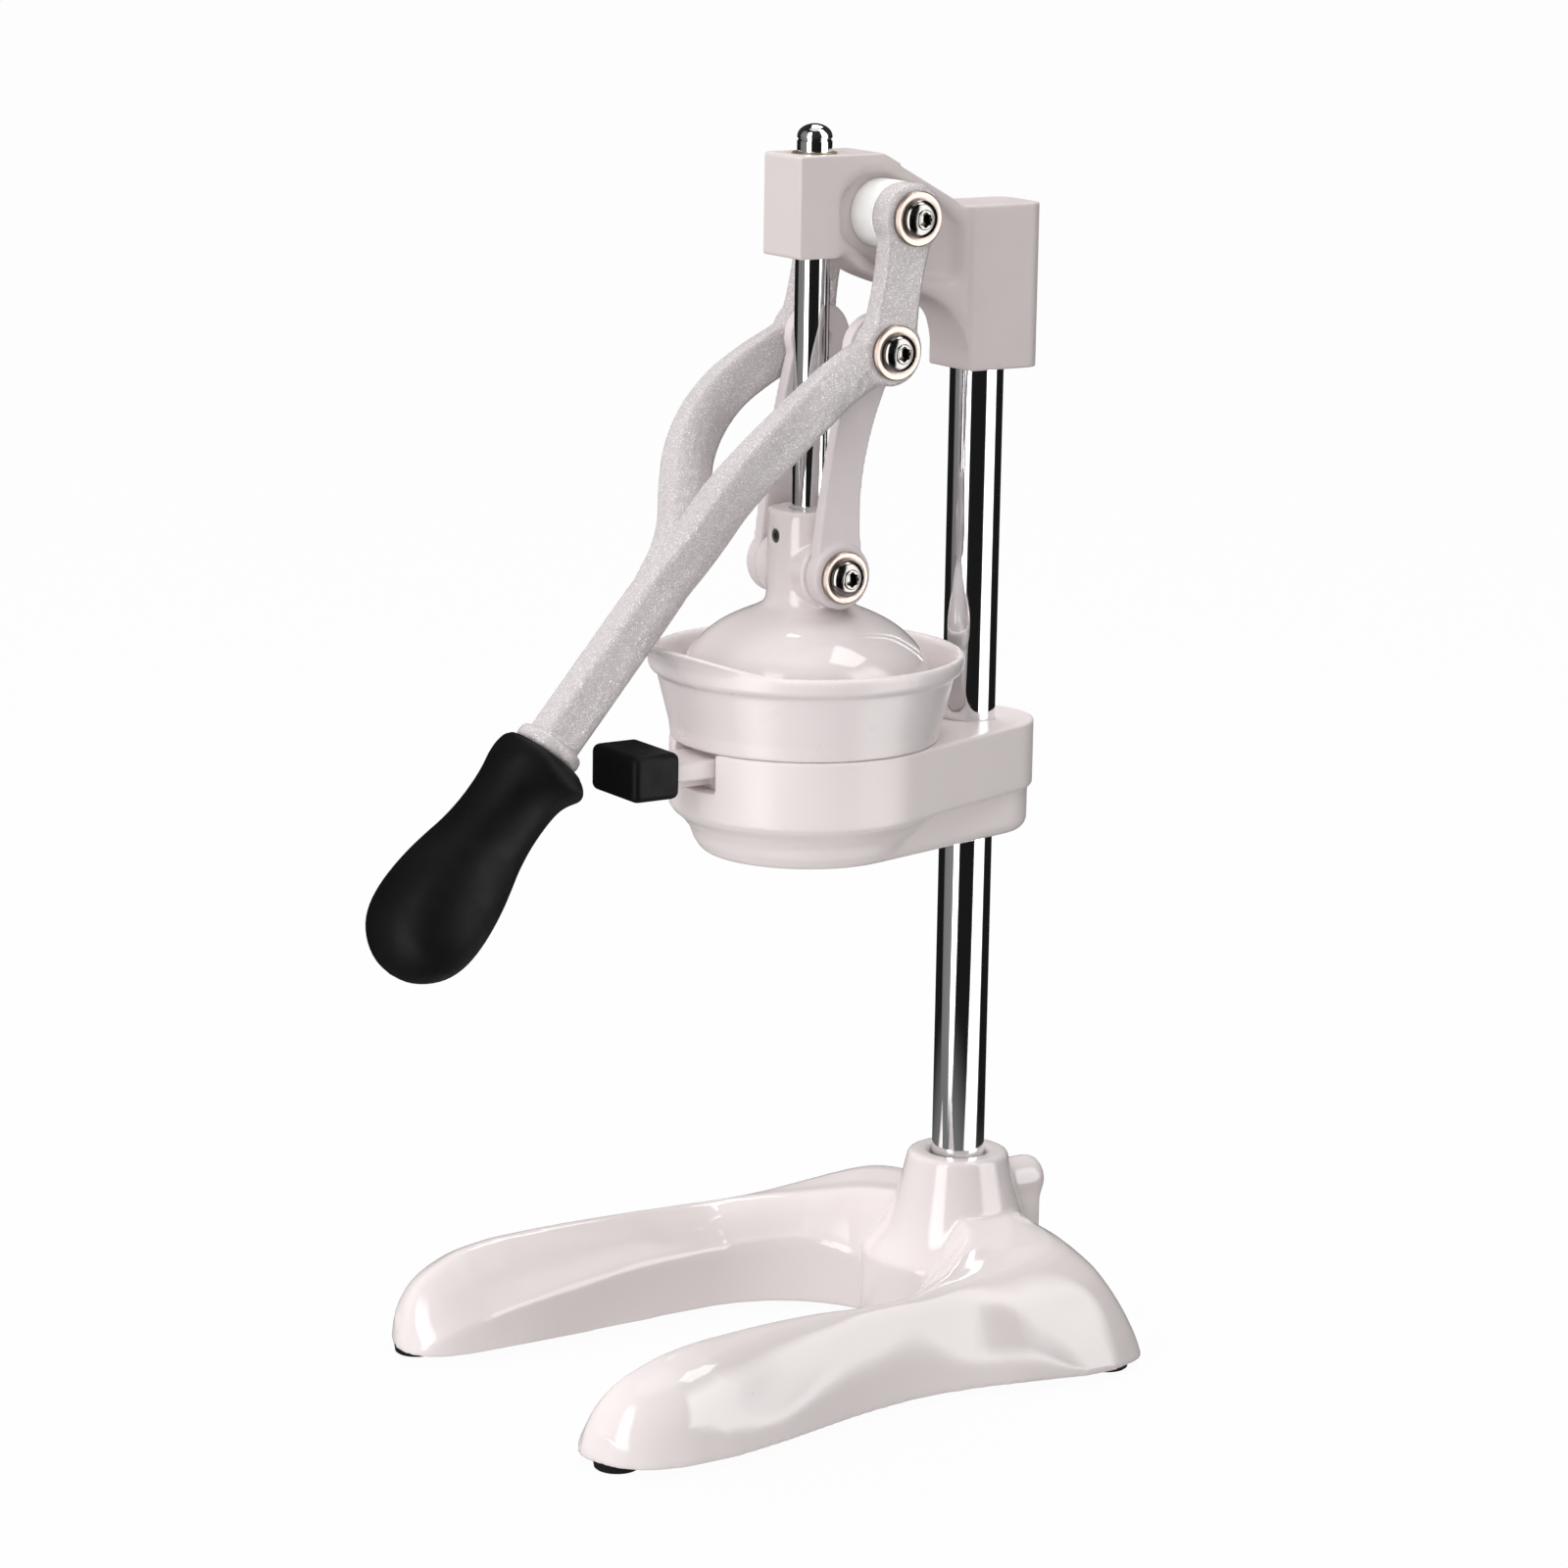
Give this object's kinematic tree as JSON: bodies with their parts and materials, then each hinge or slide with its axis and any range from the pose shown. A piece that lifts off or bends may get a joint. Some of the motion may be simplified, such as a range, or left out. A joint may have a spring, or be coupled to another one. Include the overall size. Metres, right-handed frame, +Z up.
{
  "type": "citrus press juicer",
  "caption": "Manual lever citrus press with a chrome column, horseshoe base, juice bowl with reamer cone, press cup on a sliding rod, fork handle and toggle links.",
  "frame": {"origin": "centre of the footprint box on the table plane", "axes": "+Z up, -Y to the front where the grip and the pour lip point, +X to the right of someone looking from behind"},
  "size_m": [0.1898, 0.2928, 0.4635],
  "materials": {
    "base_enamel": "glossy enamel",
    "holder_enamel": "glossy enamel",
    "bowl_enamel": "glossy enamel",
    "cup_enamel": "glossy enamel",
    "head_paint": "satin paint",
    "fork_hammertone": "fine hammertone with sparkle",
    "link_paint": "satin, fine texture",
    "chrome": "polished",
    "screw_steel": "dark zinc",
    "screw_polished": "polished",
    "washer_nickel": "satin nickel, warm",
    "axle_steel": "ground",
    "strainer_steel": "satin",
    "cone_metal": "satin cast",
    "bush_brass": "turned",
    "bush_nylon": "off-white nylon",
    "grip_plastic": "satin black",
    "cap_rubber": "satin black",
    "foot_rubber": "matt black"
  },
  "bodies": {
    "stand": {"base_casting": "base_enamel", "base_feet": "foot_rubber", "foot_screws": "screw_steel", "base_clamp_screw": "screw_steel", "column": "chrome", "holder_bracket": "holder_enamel", "holder_clamp_screws": "screw_steel", "juice_bowl": "bowl_enamel", "bowl_tab_cap": "cap_rubber", "strainer": "strainer_steel", "reamer_cone": "cone_metal", "head_bracket": "head_paint", "head_clamp_screws": "screw_steel", "rod_guide_bushes": "bush_brass", "pivot_axle": "axle_steel", "pivot_spacer_bushes": "bush_nylon", "head_pivot_washers": "washer_nickel", "head_pivot_screws": "screw_polished"},
    "handle": {"fork_handle": "fork_hammertone", "handle_grip": "grip_plastic", "link_pivot_washers": "washer_nickel", "link_pivot_screws": "screw_polished"},
    "press": {"press_cup": "cup_enamel", "press_rod": "chrome", "rod_set_screw": "screw_steel", "press_pivot_washers": "washer_nickel", "press_pivot_screws": "screw_polished"},
    "link_l": {"link_left": "link_paint"},
    "link_r": {"link_right": "link_paint"}
  },
  "joints": [
    {"name": "handle_swing", "type": "hinge", "parent": "stand", "child": "handle", "pos_m": [0, 0.05747, 0.4314], "axis": [-1, 0, 0], "range_deg": [0, 100]},
    {"name": "press_slide", "type": "slide", "parent": "stand", "child": "press", "axis": [0, 0, 1], "range_m": [0, 0.0658]},
    {"name": "link_left_turn", "type": "hinge", "parent": "press", "child": "link_l", "pos_m": [0, 0.03458, 0.3016], "axis": [1, 0, 0], "range_deg": [0, 26.29]},
    {"name": "link_right_turn", "type": "hinge", "parent": "press", "child": "link_r", "pos_m": [0, 0.03458, 0.3016], "axis": [1, 0, 0], "range_deg": [0, 26.29]}
  ],
  "couplings": [
    {"joint": "press_slide", "follows": "handle_swing", "m_per_rad": 0.037643},
    {"joint": "link_left_turn", "follows": "handle_swing", "ratio": 0.26241},
    {"joint": "link_right_turn", "follows": "handle_swing", "ratio": 0.26241}
  ]
}
